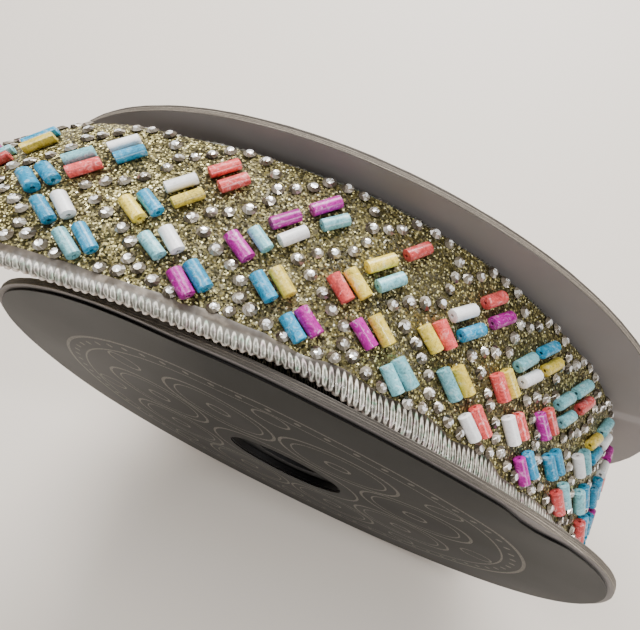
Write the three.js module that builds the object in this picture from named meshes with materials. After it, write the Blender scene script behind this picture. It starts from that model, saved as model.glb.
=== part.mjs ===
// Beaded ribbon wound on a card reel that stands on its rims.
// Millimetres, +Z up. The reel's axis runs along Y and its front flange is at -Y.
// Angles around the reel are in degrees from straight up, towards +X.
import * as THREE from "three";

// Reel
const flangeRadius = 88;
const backFlangeRadius = 90.4;
const backFlangeOffset = -3.5;
const boardThickness = 1.6;
const facingThickness = 0.35;
const facingInset = 1.4;
const pieceGap = 0.3;
const flangeSpacing = 39.65;
const hubHoleRadius = 17;
const spindleHoleRadius = 10.5;
const hubRingThickness = 1.5;
const coreOuterRadius = 42.5;
const coreWall = 3.3;
const outlineStep = 5;
const holeSides = 36;

// Worn stretch of the front facing's edge
const wornFrom = 31;
const wornTo = 45;
const wornDepth = 2.6;

// Ribbon
const ribbonWidth = 38;
const clothThickness = 1.6;
const frontBindingWidth = 4;
const backBindingWidth = 2;
const bindingAbove = 1.3;
const bindingBelow = 1.3;
const sideClearance = 0.65;
const rollInnerRadius = coreOuterRadius + pieceGap;
const rollOuterRadius = 77;
const turnThickness = 2.9;
const rollBandHeight = 0.6;
const rollStep = 5;
const partingAngle = 100;
const partingStep = 0.5;
const routePoints = 90;
const stretchSteps = 60;
const wobbleHeight = 0.35;
const wobbleLength = 37;

// The outer turn from where it parts from the roll, over the top, to its cut end.
// angle: place around the reel; radius: middle of the cloth at its front edge; shift: front edge
// behind the front flange's inner face, negative where it hangs out over the rim; dip: how much
// lower the back edge hangs.
const looseTurnRoute = [
  { angle: 99, radius: 76.4, shift: 0.4, dip: 0 },
  { angle: 76, radius: 76.6, shift: 0.4, dip: 0 },
  { angle: 54, radius: 76.8, shift: 0.4, dip: 0 },
  { angle: 38, radius: 77.9, shift: 0.4, dip: 0.3 },
  { angle: 23, radius: 82.0, shift: 0.4, dip: 1.3 },
  { angle: 13, radius: 85.2, shift: 0.4, dip: 2.0 },
  { angle: 3, radius: 88.0, shift: 0.4, dip: 2.6 },
  { angle: -7, radius: 91.5, shift: 0.1, dip: 3.6 },
  { angle: -17, radius: 97.2, shift: -2.4, dip: 5.4 },
  { angle: -27, radius: 104.6, shift: -5.8, dip: 8.0 },
  { angle: -37, radius: 110.0, shift: -9.6, dip: 9.6 },
  { angle: -49, radius: 115.0, shift: -14.0, dip: 10.4 },
  { angle: -62, radius: 118.6, shift: -16.6, dip: 10.6 },
  { angle: -74, radius: 119.6, shift: -17.8, dip: 10.6 },
  { angle: -84, radius: 121.0, shift: -18.2, dip: 10.6 },
];

const radians = THREE.MathUtils.degToRad;
const smoothstep = THREE.MathUtils.smoothstep;
const frontInnerFace = -flangeSpacing / 2;

// Colours and finish of the real pieces
const materials = {
  card: new THREE.MeshStandardMaterial({ color: 0x8f877a, roughness: 0.85, metalness: 0 }),
  facingPaper: new THREE.MeshStandardMaterial({ color: 0x45413b, roughness: 0.55, metalness: 0 }),
  kraftBoard: new THREE.MeshStandardMaterial({ color: 0x5c554c, roughness: 0.8, metalness: 0 }),
  glitterNet: new THREE.MeshStandardMaterial({ color: 0xa39765, roughness: 0.4, metalness: 0.5 }),
  clearThread: new THREE.MeshStandardMaterial({ color: 0xd8d6d0, roughness: 0.3, metalness: 0 }),
};

// A point at an angle and radius around the reel, at a place along its axis.
function aroundReel(angle, radius, along) {
  const turn = radians(angle);
  return new THREE.Vector3(radius * Math.sin(turn), along, radius * Math.cos(turn));
}

// A closed solid through a row of cross-sections with equal numbers of points.
// looped joins the last section to the first, and open ends are capped.
function solidThrough(sections, looped) {
  const sides = sections[0].length;
  const positions = sections.flat().flatMap((point) => point.toArray());
  const faces = [];
  const spans = looped ? sections.length : sections.length - 1;
  for (let span = 0; span < spans; span += 1) {
    const here = span * sides;
    const there = ((span + 1) % sections.length) * sides;
    for (let side = 0; side < sides; side += 1) {
      const next = (side + 1) % sides;
      faces.push(here + side, there + side, there + next);
      faces.push(here + side, there + next, here + next);
    }
  }
  if (!looped) {
    const last = (sections.length - 1) * sides;
    for (let side = 1; side < sides - 1; side += 1) {
      faces.push(0, side, side + 1);
      faces.push(last, last + side + 1, last + side);
    }
  }
  const geometry = new THREE.BufferGeometry();
  geometry.setAttribute("position", new THREE.Float32BufferAttribute(positions, 3));
  geometry.setIndex(faces);
  geometry.computeVertexNormals();
  return geometry;
}

function namedMesh(name, geometry, material) {
  const mesh = new THREE.Mesh(geometry, material);
  mesh.name = name;
  return mesh;
}

// The outline of a flange: a circle whose lowest corner is left out, so that it stands on a flat.
function flangeOutline(radiusAt) {
  const corners = [];
  for (let angle = outlineStep - 180; angle < 180; angle += outlineStep) {
    const corner = aroundReel(angle, radiusAt(angle), 0);
    corners.push(new THREE.Vector2(corner.x, corner.z));
  }
  return new THREE.Shape(corners.reverse());
}

// A flat disc with a round hole, lying in a plane across the reel's axis from low to high.
function discAcrossAxis(outline, holeRadius, low, thickness) {
  const hole = new THREE.Path();
  hole.absarc(0, 0, holeRadius, 0, 2 * Math.PI, true);
  outline.holes.push(hole);
  const geometry = new THREE.ExtrudeGeometry(outline, {
    depth: thickness,
    bevelEnabled: false,
    curveSegments: holeSides,
  });
  geometry.rotateX(Math.PI / 2);
  geometry.translate(0, low + thickness, 0);
  return geometry;
}

// Board of a flange, cut from card.
function flangeBoard(name, radius, low) {
  const outline = flangeOutline(() => radius);
  return namedMesh(name, discAcrossAxis(outline, hubHoleRadius, low, boardThickness), materials.card);
}

// Printed paper on a flange's outer face, worn back along one stretch of the front one's edge.
function flangeFacing(name, radius, low, worn) {
  const radiusAt = (angle) => {
    const wear = smoothstep(angle, wornFrom, wornFrom + 6) * (1 - smoothstep(angle, wornTo - 6, wornTo));
    return radius - facingInset - (worn ? wornDepth * wear : 0);
  };
  const outline = flangeOutline(radiusAt);
  const hole = hubHoleRadius + pieceGap;
  return namedMesh(name, discAcrossAxis(outline, hole, low, facingThickness), materials.facingPaper);
}

// Ring inside the end of the core, with the hole that a spindle goes through.
function hubRing(name, low) {
  const outline = new THREE.Shape();
  outline.absarc(0, 0, coreOuterRadius - coreWall - pieceGap, 0, 2 * Math.PI, false);
  const geometry = discAcrossAxis(outline, spindleHoleRadius, low, hubRingThickness);
  return namedMesh(name, geometry, materials.kraftBoard);
}

// Card tube between the flanges, which the ribbon is wound on.
function coreTube() {
  const innerRadius = coreOuterRadius - coreWall;
  const halfLength = flangeSpacing / 2 - pieceGap;
  const profile = [
    new THREE.Vector2(innerRadius, -halfLength),
    new THREE.Vector2(coreOuterRadius, -halfLength),
    new THREE.Vector2(coreOuterRadius, halfLength),
    new THREE.Vector2(innerRadius, halfLength),
    new THREE.Vector2(innerRadius, -halfLength),
  ];
  return namedMesh("core_tube", new THREE.LatheGeometry(profile, 60), materials.card);
}

// Wound ribbon as one spiral solid, one turn thicker after the place where the outer turn parts.
// Its outer face carries the two raised bound edges.
function ribbonRoll() {
  const front = frontInnerFace + sideClearance;
  const back = front + ribbonWidth;
  const places = [];
  for (let turned = 0; turned < 360; turned += rollStep) {
    places.push(turned);
  }
  places.push(360 - partingStep);
  const sections = places.map((turned) => {
    const surface = rollOuterRadius - turnThickness * (turned / 360);
    const band = surface + rollBandHeight;
    const edge = band - bindingAbove;
    const across = [
      [front, rollInnerRadius],
      [front, edge],
      [front + frontBindingWidth * 0.25, band],
      [front + frontBindingWidth * 0.75, band],
      [front + frontBindingWidth, surface],
      [back - backBindingWidth, surface],
      [back - backBindingWidth * 0.75, band],
      [back - backBindingWidth * 0.25, band],
      [back, edge],
      [back, rollInnerRadius],
    ];
    const angle = partingAngle + turned;
    return across.map(([along, radius]) => aroundReel(angle, radius, along));
  });
  return namedMesh("ribbon_roll", solidThrough(sections, true), materials.glitterNet);
}

// The route's table as a smooth function of the angle, read as radius, shift and dip.
const routeTable = new THREE.CubicInterpolant(
  looseTurnRoute.map(({ angle }) => -angle),
  looseTurnRoute.flatMap(({ radius, shift, dip }) => [radius, shift, dip]),
  3,
);

// Stations along the outer turn: the middle of the cloth at its front edge, its outward normal
// and how far its back edge dips.
function looseTurnStations() {
  const firstAngle = looseTurnRoute[0].angle;
  const lastAngle = looseTurnRoute.at(-1).angle;
  const places = [];
  for (let place = 0; place <= routePoints; place += 1) {
    const angle = THREE.MathUtils.lerp(firstAngle, lastAngle, place / routePoints);
    const [radius, shift] = routeTable.evaluate(-angle);
    places.push(aroundReel(angle, radius, frontInnerFace + shift));
  }
  const route = new THREE.CatmullRomCurve3(places);
  const length = route.getLength();
  const stations = [];
  for (let step = 0; step <= stretchSteps; step += 1) {
    const at = step / stretchSteps;
    const middle = route.getPointAt(at);
    const tangent = route.getTangentAt(at);
    const normal = new THREE.Vector3(tangent.z, 0, -tangent.x).normalize();
    const angle = THREE.MathUtils.radToDeg(Math.atan2(middle.x, middle.z));
    const dip = routeTable.evaluate(-angle)[2];
    const lifted = smoothstep(Math.hypot(middle.x, middle.z), flangeRadius, flangeRadius + 8);
    const wave = Math.sin((2 * Math.PI * at * length) / wobbleLength);
    middle.addScaledVector(normal, wobbleHeight * lifted * wave);
    stations.push({ middle, normal, dip });
  }
  return stations;
}

// A strip of the outer turn whose cross-section lists places across the ribbon and heights over
// the middle of the cloth.
function outerTurnStrip(name, across, material) {
  const sections = looseTurnStations().map(({ middle, normal, dip }) =>
    across.map(([along, height]) => {
      const lowered = height - dip * (along / ribbonWidth) ** 2;
      const point = middle.clone().addScaledVector(normal, lowered);
      point.y += along;
      return point;
    }),
  );
  return namedMesh(name, solidThrough(sections, false), material);
}

// Glitter net between the two bound edges.
function looseTurnCloth() {
  const start = frontBindingWidth + pieceGap;
  const end = ribbonWidth - backBindingWidth - pieceGap;
  const span = end - start;
  const top = [1, 0.7, 0.35, 0].map((part) => [start + span * part, clothThickness / 2]);
  const under = [0, 0.35, 0.7, 1].map((part) => [start + span * part, -clothThickness / 2]);
  return outerTurnStrip("loose_turn_cloth", [...under, ...top], materials.glitterNet);
}

// Wired edge, bound over with clear thread.
function looseTurnBinding(name, start, width) {
  const corner = 0.2 * width;
  const across = [
    [start, -bindingBelow + corner],
    [start + corner, -bindingBelow],
    [start + width - corner, -bindingBelow],
    [start + width, -bindingBelow + corner],
    [start + width, bindingAbove - corner],
    [start + width - corner, bindingAbove],
    [start + corner, bindingAbove],
    [start, bindingAbove - corner],
  ];
  return outerTurnStrip(name, across, materials.clearThread);
}

const frontBoardLow = frontInnerFace - boardThickness;
const backBoardLow = -frontInnerFace;
const reel = new THREE.Group();
reel.add(
  flangeFacing("front_flange_facing", flangeRadius, frontBoardLow - pieceGap - facingThickness, true),
  flangeBoard("front_flange_board", flangeRadius, frontBoardLow),
  hubRing("front_hub_ring", frontInnerFace + pieceGap),
  coreTube(),
  hubRing("back_hub_ring", backBoardLow - pieceGap - hubRingThickness),
);

// The back flange is a little larger and glued off centre, and stands level with the front one.
const backFlange = new THREE.Group();
backFlange.position.x = backFlangeOffset;
backFlange.position.z = (backFlangeRadius - flangeRadius) * Math.cos(radians(outlineStep));
backFlange.add(
  flangeBoard("back_flange_board", backFlangeRadius, backBoardLow),
  flangeFacing("back_flange_facing", backFlangeRadius, backBoardLow + boardThickness + pieceGap, false),
);
reel.add(backFlange);
const ribbon = new THREE.Group();
ribbon.add(
  ribbonRoll(),
  looseTurnCloth(),
  looseTurnBinding("loose_turn_front_binding", 0, frontBindingWidth),
  looseTurnBinding("loose_turn_back_binding", ribbonWidth - backBindingWidth, backBindingWidth),
);

// Origin under the middle of the whole part, on the surface that it stands on.
const group = new THREE.Group();
group.add(reel, ribbon);
const reach = new THREE.Box3().setFromObject(group, true);
const middle = reach.getCenter(new THREE.Vector3());
group.position.set(-middle.x, -middle.y, -reach.min.z);
group.updateMatrixWorld(true);

export default group;
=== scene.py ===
"""Beaded ribbon on a card reel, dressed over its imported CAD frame.

Sizes are in millimetres in the panel's groups and turned to metres where a piece is made.
Angles around the reel are in degrees from straight up, towards +X. Places on the ribbon are
given as the distance along it, the distance across it from its front edge, and the height over
the middle of its cloth.
"""

import math
from functools import partial

import bpy
import numpy as np
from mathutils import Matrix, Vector


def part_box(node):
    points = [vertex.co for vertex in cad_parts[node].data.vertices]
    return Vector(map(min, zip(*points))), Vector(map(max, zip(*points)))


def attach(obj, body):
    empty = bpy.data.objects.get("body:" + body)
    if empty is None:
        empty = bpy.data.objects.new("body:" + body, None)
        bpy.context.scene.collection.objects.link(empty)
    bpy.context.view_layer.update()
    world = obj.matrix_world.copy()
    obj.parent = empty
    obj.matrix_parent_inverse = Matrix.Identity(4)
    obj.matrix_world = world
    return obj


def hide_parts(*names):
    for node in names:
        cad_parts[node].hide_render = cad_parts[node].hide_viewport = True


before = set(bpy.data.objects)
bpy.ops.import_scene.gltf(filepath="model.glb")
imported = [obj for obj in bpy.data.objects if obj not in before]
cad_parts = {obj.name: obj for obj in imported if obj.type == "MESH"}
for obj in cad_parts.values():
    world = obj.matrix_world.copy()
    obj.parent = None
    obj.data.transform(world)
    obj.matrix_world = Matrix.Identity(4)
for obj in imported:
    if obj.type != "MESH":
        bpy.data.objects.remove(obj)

bl_info = {
    "name": "Beaded ribbon on a reel",
    "version": (1, 0, 0),
    "blender": (4, 5, 0),
    "location": "3D View > Sidebar > Ribbon",
    "description": "Makes a beaded ribbon wound on a card reel",
    "category": "Add Mesh",
}

MM = 0.001

# Places taken from the CAD frame, in millimetres
BOARD_LOW, BOARD_HIGH = (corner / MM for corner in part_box("front_flange_board"))
BACK_LOW, BACK_HIGH = (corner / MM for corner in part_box("back_flange_board"))
FACING_LOW, FACING_HIGH = (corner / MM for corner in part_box("front_flange_facing"))
BACK_FACING_LOW, BACK_FACING_HIGH = (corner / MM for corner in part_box("back_flange_facing"))
CORE_LOW, CORE_HIGH = (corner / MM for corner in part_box("core_tube"))
CORE_RADIUS = (CORE_HIGH.x - CORE_LOW.x) / 2
FLANGE_RADIUS = (BOARD_HIGH.x - BOARD_LOW.x) / 2
BACK_FLANGE_RADIUS = (BACK_HIGH.x - BACK_LOW.x) / 2
AXIS_X = (BOARD_LOW.x + BOARD_HIGH.x) / 2
AXIS_Z = BOARD_HIGH.z - FLANGE_RADIUS
FRONT_AXIS = (AXIS_X, AXIS_Z)
BACK_AXIS = ((BACK_LOW.x + BACK_HIGH.x) / 2, BACK_HIGH.z - BACK_FLANGE_RADIUS)
FRONT_INNER_FACE = BOARD_HIGH.y

# The outer turn from its cut end, over the top, to where it joins the roll, and one turn on.
# angle, radius of the middle of the cloth, front edge behind the front flange's inner face,
# how much lower the back edge hangs
ROUTE = (
    (-84, 121.0, -18.2, 10.6),
    (-74, 119.6, -17.8, 10.6),
    (-62, 118.6, -16.6, 10.6),
    (-49, 115.0, -13.8, 10.4),
    (-37, 110.0, -9.3, 9.6),
    (-27, 104.6, -5.2, 8.0),
    (-17, 97.2, -3.1, 5.4),
    (-7, 91.5, -1.1, 3.6),
    (3, 88.0, 0.2, 2.6),
    (13, 85.2, 0.45, 2.0),
    (23, 82.0, 1.0, 1.3),
    (38, 77.9, 1.1, 0.3),
    (54, 76.8, 1.1, 0.0),
    (76, 76.6, 1.0, 0.0),
    (99, 76.4, 0.8, 0.0),
    (104, 76.17, 0.65, 0.0),
    (230, 75.15, 0.65, 0.0),
    (345, 74.22, 0.65, 0.0),
    (460, 73.3, 0.65, 0.0),
)
# Where the loose turn is cut, where it ends, where the wound turns start, where places along
# the ribbon are counted from, and where the loose turn starts to cover the roll
TAIL_ANGLE = -84
LOOSE_END_ANGLE = 99
PARTING_ANGLE = 100
ZERO_ANGLE = -7.2
COVERED_ANGLE = 388
# Waves of the loose turn where it stands out over the flange, and of the net between beads
WOBBLE_HEIGHT = 0.35
WOBBLE_LENGTH = 37
RIPPLE_HEIGHT = 0.12
RIBBON_WIDTH = 38.0
CURL_START = 35.0

# Beads of one chevron: place along and across the ribbon, and direction of the bead's length
BEAD_PLACES = (
    (0.0, 16.9, -35.7), (2.2, 19.2, -35.7),
    (6.7, 11.5, -35.7), (9.1, 13.5, -35.7),
    (14.0, 6.9, -35.7), (15.9, 8.9, -35.7),
    (4.4, 24.8, 47.4), (7.1, 22.4, 47.4),
    (9.5, 30.6, 47.4), (12.3, 28.2, 47.4),
)
# Chevrons that show, from the cut end on: place of the first bead and the beads' colours in the
# order of the places above. m magenta, b blue, t teal, a aqua, w white, y yellow, c coral,
# a dot for any of them, and a dash where a bead is missing
SEEN_CHEVRONS = (
    (-59.0, "......acby"),
    (-39.5, "tttwabacwb"),
    (-19.9, "ybawmtwycc"),
    (-0.7, "mabybmmwma"),
    (17.5, "cymyaayac-"),
    (35.25, "ycaywcwbcm"),
    (52.8, "cywcmbawby"),
    (68.6, "mcb.c.aaac"),
)
COLOUR_LETTERS = "mbtawyc"
BEAD_COLOURS = {
    "magenta": "m", "blue": "bt", "aqua": "a", "white": "w", "yellow": "y", "coral": "c",
}
CHEVRON_PITCH = 18.5
# Heights over the middle of the cloth: a bead's middle and a rhinestone's lower rim
BEAD_HEIGHT = 1.85
STONE_HEIGHT = 0.7

# The front wired edge is pulled in waves by the sewing: angle, and how far its outer and its
# inner border lie further in than a straight edge's
EDGE_WAVES = (
    (-40, 0.3, 0.0), (-30, 0.3, -0.15), (-25, 0.2, -0.4), (-20, 0.45, 0.0),
    (-15, 0.7, -0.1), (-12, 0.45, 0.0), (-7, 0.25, 0.2), (-3, 0.15, 0.0),
    (0, 0.6, 0.1), (3, 0.7, -0.6), (7, 0.4, 0.35), (10, 0.0, 0.2),
    (13, -0.2, -0.15), (17, -0.5, 0.5), (20.5, -0.7, 0.1), (24, -0.75, -0.6),
    (27.5, -0.7, 0.4), (30, -0.7, 0.4), (34, -0.7, -0.8), (38, -0.6, -0.4),
    (45, 0.0, 0.0), (60, 0.2, 0.0), (80, 0.0, 0.0),
)
# How far a loop of the wired edge leans over its width, in loops, where the loops start and
# end as a share of the edge's section, on the loose part and on the wound part, the angles
# between which they widen, and the length of a scallop of the border
LOOP_SLANT = 3.0
LOOP_START = 0.2
LOOP_ENDS = (0.6, 0.8)
LOOPS_WIDEN = (-5, 8)
SCALLOP = 1.5

# How far the front flange's card is bent back at its rim, by angle
FLANGE_BEND = (
    (-180, 0.0), (-120, 0.0), (-90, 1.0), (-60, 1.5), (-40, 1.4), (-30, 1.2), (-20, 0.7),
    (-10, 0.0), (0, -0.1), (10, -0.3), (20, -0.25), (30, 0.0), (40, 0.4), (50, 1.0),
    (60, 1.2), (75, 0.9), (110, 0.0), (180, 0.0),
)

# Where the front facing is worn back, in degrees
WORN_STRETCH = (31, 45)

# Brightness of the card's plies across the rim, from the inner face to the outer one. On the
# back rim the dark stops next to the inner face are a painted shadow line
FRONT_PLIES = (
    (0.0, 0.65), (0.12, 0.95), (0.3, 0.8), (0.4, 0.8), (0.47, 2.4),
    (0.54, 0.75), (0.72, 0.9), (0.78, 1.5), (0.85, 0.8), (1.0, 0.7),
)
BACK_PLIES_AND_SHADE = (
    (0.0, 0.45), (0.12, 0.5), (0.2, 1.6), (0.28, 1.0), (0.42, 0.65),
    (0.54, 1.35), (0.62, 0.8), (0.72, 0.4), (1.0, 0.3),
)
# Painted shade along the front rim's top, where the ribbon shades it, and painted light at its
# left end: where, to the sides of the axis, and the painted brightness factor
RIM_SHADE_STRETCH = (-44, 60)
RIM_SHADE_AND_LIGHT = (
    (0.0, 1.5), (0.2, 0.9), (0.34, 0.45), (0.44, 0.24),
    (0.64, 0.28), (0.8, 0.42), (0.9, 0.75), (1.0, 1.0),
)

# Ornament of the facings. Rings of the wreath: how many, how far out their middles lie, half a
# step on or not, radius and half the line's width. Borders: radius and half the line's width
WREATH = (
    (8, 40.5, 0.0, 14.8, 0.42),
    (8, 40.5, 0.0, 11.8, 0.22),
    (8, 40.5, 0.0, 3.0, 0.40),
    (8, 57.5, 0.5, 4.2, 0.30),
    (64, 65.3, 0.5, 0.0, 0.80),
)
BORDERS = ((68.0, 0.45), (62.6, 0.25), (22.5, 0.35))

# Rhinestones of one chevron, along and across the ribbon
STONE_PLACES = (
    (9.4, 19.1), (11.8, 21.2), (14.6, 22.6), (17.4, 24.7),
    (0.2, 27.6), (0.4, 30.8), (3.1, 32.0), (5.6, 33.8),
    (8.0, 36.1), (11.3, 36.6), (14.8, 36.2), (17.8, 33.8),
    (12.7, 17.0), (15.8, 15.0), (0.1, 13.2), (2.9, 11.2),
    (4.3, 8.5), (6.8, 7.0), (9.9, 5.8), (13.1, 5.1),
    (1.0, 5.1), (3.9, 5.6),
)

# Area lights: name, place in metres, size in metres and power in watts
LIGHTS = (
    ("window", (-0.1, 1.1, 0.85), 0.7, 42.0),
    ("ceiling", (-0.55, 0.15, 1.25), 0.6, 13.0),
    ("side_window", (0.95, -0.3, 0.62), 0.3, 7.0),
    ("sparkle", (0.35, 0.0, 1.2), 0.08, 4.0),
)
LIGHT_AIM = (0.0, 0.0, 0.12)
# Camera, in millimetres from the reel's axis at the front flange's inner face, and its turn
CAMERA_PLACE = (22.04, -25.46, 188.47)
CAMERA_TURN = (22.118, 0.045, 25.035)


def linear(code):
    """Linear colour of an sRGB hex code."""
    shares = [int(code[place:place + 2], 16) / 255 for place in (1, 3, 5)]
    return [s / 12.92 if s <= 0.04045 else ((s + 0.055) / 1.055) ** 2.4 for s in shares]


def size_property(name, description, default):
    """A length in millimetres."""
    return bpy.props.FloatProperty(name=name, description=description, default=default, min=0.0)


def colour_property(name, description, code):
    """A colour given as an sRGB hex code."""
    return bpy.props.FloatVectorProperty(
        name=name, description=description, subtype="COLOR", size=3, min=0.0, max=1.0,
        default=linear(code),
    )


class ReelSettings(bpy.types.PropertyGroup):
    """Sizes and colours of the card reel"""

    hub_hole: size_property("Hub hole", "Radius of the hole in a flange, in mm", 17.0)
    ply_groove: size_property("Ply groove", "Depth of the lines between plies, in mm", 0.12)
    facing_margin: size_property("Facing margin", "Bare card around the facing, in mm", 1.4)
    worn_depth: size_property("Worn depth", "How far the facing is worn back, in mm", 2.6)
    card: colour_property("Card", "Grey laminated card, on its cut rim", "#8c8275")
    lining: colour_property("Lining", "Smooth grey paper on the inner faces", "#9c9592")
    facing: colour_property("Facing", "Dark paper on the flanges", "#171613")
    ink: colour_property("Ink", "Silver ink of the ornament", "#79736a")
    # Near black: the hub's own dark board plus painted shade of the hub's hollow
    board: colour_property("Hub board", "Board of the hub rings", "#0c0a09")


class RibbonSettings(bpy.types.PropertyGroup):
    """Sizes and colours of the ribbon's cloth and edges"""

    width: size_property("Width", "Width of the ribbon, in mm", RIBBON_WIDTH)
    cloth: size_property("Cloth", "Thickness of the glitter net, in mm", 1.6)
    front_edge: size_property("Front edge", "Width of the front wired edge, in mm", 4.0)
    back_edge: size_property("Back edge", "Width of the back wired edge, in mm", 2.0)
    stitch: size_property("Stitch", "Distance between two loops of the edge, in mm", 1.2)
    fleck: size_property("Fleck", "Size of a fleck of glitter, in mm", 0.33)
    gold: colour_property("Gold", "Middle colour of the glitter", "#7b7041")
    painted_glint_gold: colour_property("Bright gold", "Flecks that catch the light", "#e3d68f")
    dark_gold: colour_property("Dark gold", "Gaps between flecks", "#30290f")
    thread: colour_property("Thread", "Clear thread of the edges", "#f0e9da")
    tape: colour_property("Tape", "Sheer tape under the thread", "#50473d")


class TrimSettings(bpy.types.PropertyGroup):
    """Sizes and colours of the beads and rhinestones"""

    bead_length: size_property("Bead length", "Length of a tube bead, in mm", 5.4)
    bead_diameter: size_property("Bead diameter", "Outside of a tube bead, in mm", 2.7)
    bead_hole: size_property("Bead hole", "Diameter of a bead's hole, in mm", 0.9)
    stone_diameter: size_property("Stone", "Diameter of a rhinestone, in mm", 2.45)
    magenta: colour_property("Magenta", "Magenta beads", "#ae0f90")
    blue: colour_property("Blue", "Blue and teal beads", "#2693bb")
    aqua: colour_property("Aqua", "Pale aqua beads", "#7fbfc6")
    white: colour_property("White", "White beads", "#f2f0ee")
    yellow: colour_property("Yellow", "Yellow beads", "#eccf4c")
    coral: colour_property("Coral", "Coral beads", "#df5350")


class StageSettings(bpy.types.PropertyGroup):
    """Floor, light and lens"""

    floor: colour_property("Floor", "Plain pale floor", "#d9cfc3")
    soft_light: bpy.props.FloatProperty(
        name="Soft light",
        description="Strength of the light from all around",
        default=0.13,
        min=0.0,
    )
    lens: bpy.props.FloatProperty(
        name="Lens",
        description="Focal length of the camera, in mm",
        default=36.7,
        min=1.0,
        subtype="DISTANCE_CAMERA",
    )


# Making meshes


def deselect_all():
    """Leaves edit mode and selects nothing."""
    if bpy.context.object and bpy.context.object.mode != "OBJECT":
        bpy.ops.object.mode_set(mode="OBJECT")
    bpy.ops.object.select_all(action="DESELECT")


def named_piece(name):
    """Names the active object and its mesh."""
    piece = bpy.context.object
    piece.name = name
    piece.data.name = name
    return piece


def dress(piece, material, slot, *nodes):
    """Gives a finished piece its material, hides its CAD nodes, and lets it ride. The slot is not
    used.
    """
    piece.data.materials.clear()
    piece.data.materials.append(material)
    if nodes:
        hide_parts(*nodes)
    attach(piece, "root")
    return piece


def coordinates(mesh):
    """Places of a mesh's corners as rows of three numbers."""
    values = np.zeros(len(mesh.vertices) * 3)
    mesh.vertices.foreach_get("co", values)
    return values.reshape(-1, 3)


def place_vertices(mesh, points):
    """Moves a mesh's corners."""
    mesh.vertices.foreach_set("co", np.asarray(points, float).ravel())
    mesh.update()


def mapped_grid(name, columns, rows, place):
    """A grid primitive laid into its place: place takes shares along and across, from 0 to 1,
    and gives points in millimetres. The shares become the UV map."""
    deselect_all()
    bpy.ops.mesh.primitive_grid_add(
        x_subdivisions=columns, y_subdivisions=rows, size=1.0, calc_uvs=False
    )
    piece = named_piece(name)
    shares = coordinates(piece.data)[:, :2] + 0.5
    place_vertices(piece.data, place(shares[:, 0], shares[:, 1]) * MM)
    corners = np.zeros(len(piece.data.loops), int)
    piece.data.loops.foreach_get("vertex_index", corners)
    layer = piece.data.uv_layers.new(name="along_across")
    layer.data.foreach_set("uv", shares[corners].ravel())
    return piece


def make_active(piece):
    """Selects one piece alone."""
    deselect_all()
    piece.select_set(True)
    bpy.context.view_layer.objects.active = piece


def edit_all(piece):
    """Opens a piece in edit mode with all of it selected."""
    make_active(piece)
    bpy.ops.object.mode_set(mode="EDIT")
    bpy.ops.mesh.select_all(action="SELECT")


def edit_faces(piece, chosen):
    """Opens a piece in edit mode with the faces selected whose normals are chosen."""
    bpy.ops.object.mode_set(mode="EDIT")
    bpy.ops.mesh.select_mode(type="FACE")
    bpy.ops.mesh.select_all(action="DESELECT")
    bpy.ops.object.mode_set(mode="OBJECT")
    for face in piece.data.polygons:
        face.select = chosen(face.normal)
    bpy.ops.object.mode_set(mode="EDIT")


def close_seams(piece):
    """Merges doubled corners and fills the holes that are left."""
    edit_all(piece)
    bpy.ops.mesh.remove_doubles(threshold=0.00002)
    bpy.ops.mesh.select_all(action="DESELECT")
    bpy.ops.mesh.select_non_manifold(extend=False, use_multi_face=False, use_verts=False)
    bpy.ops.mesh.fill_holes(sides=0)
    bpy.ops.mesh.select_all(action="SELECT")
    bpy.ops.mesh.normals_make_consistent(inside=False)
    bpy.ops.object.mode_set(mode="OBJECT")


def spun_ring(name, profile, centre, steps):
    """A ring around the reel's axis from a closed profile of (radius, place along the axis)."""
    deselect_all()
    bpy.ops.mesh.primitive_circle_add(vertices=len(profile), radius=1.0, fill_type="NOTHING")
    piece = named_piece(name)
    corners = [(centre[0] + radius, along, centre[1]) for radius, along in profile]
    place_vertices(piece.data, np.array(corners) * MM)
    edit_all(piece)
    middle = (centre[0] * MM, 0, centre[1] * MM)
    bpy.ops.mesh.spin(steps=steps, angle=2 * math.pi, center=middle, axis=(0, 1, 0))
    bpy.ops.mesh.select_all(action="SELECT")
    bpy.ops.mesh.remove_doubles(threshold=0.000005)
    bpy.ops.mesh.normals_make_consistent(inside=False)
    bpy.ops.object.mode_set(mode="OBJECT")
    return piece


def cut_flat_at_floor(piece):
    """Takes off what is below the floor, as where the reel stands on its rim."""
    edit_all(piece)
    bpy.ops.mesh.bisect(
        plane_co=(0, 0, 0), plane_no=(0, 0, 1), clear_inner=True, use_fill=True,
        threshold=0.0000001,
    )
    bpy.ops.object.mode_set(mode="OBJECT")


def smooth(piece, angle):
    """Smooth faces, with edges sharper than the angle kept."""
    make_active(piece)
    bpy.ops.object.shade_smooth_by_angle(angle=math.radians(angle))
    return piece


def template_of(piece):
    """A small piece as its points, in millimetres, and its faces. The piece itself goes."""
    points = coordinates(piece.data) / MM
    faces = [tuple(face.vertices) for face in piece.data.polygons]
    bpy.data.objects.remove(piece)
    return points, faces


def repeated(name, copies, faces, face_values=None, point_values=None):
    """One mesh of many copies of a template. copies is a list of point arrays in metres."""
    per_copy = len(copies[0])
    every_face = [
        tuple(corner + per_copy * number for corner in face)
        for number in range(len(copies))
        for face in faces
    ]
    mesh = bpy.data.meshes.new(name)
    mesh.from_pydata(np.concatenate(copies).tolist(), [], every_face)
    if face_values is not None:
        glint = mesh.attributes.new("glint", "FLOAT", "FACE")
        glint.data.foreach_set("value", np.asarray(face_values, np.float32))
    if point_values is not None:
        tone = mesh.attributes.new("tone", "FLOAT", "POINT")
        tone.data.foreach_set("value", np.repeat(point_values, per_copy).astype(np.float32))
    mesh.update()
    piece = bpy.data.objects.new(name, mesh)
    bpy.context.scene.collection.objects.link(piece)
    return piece


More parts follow.
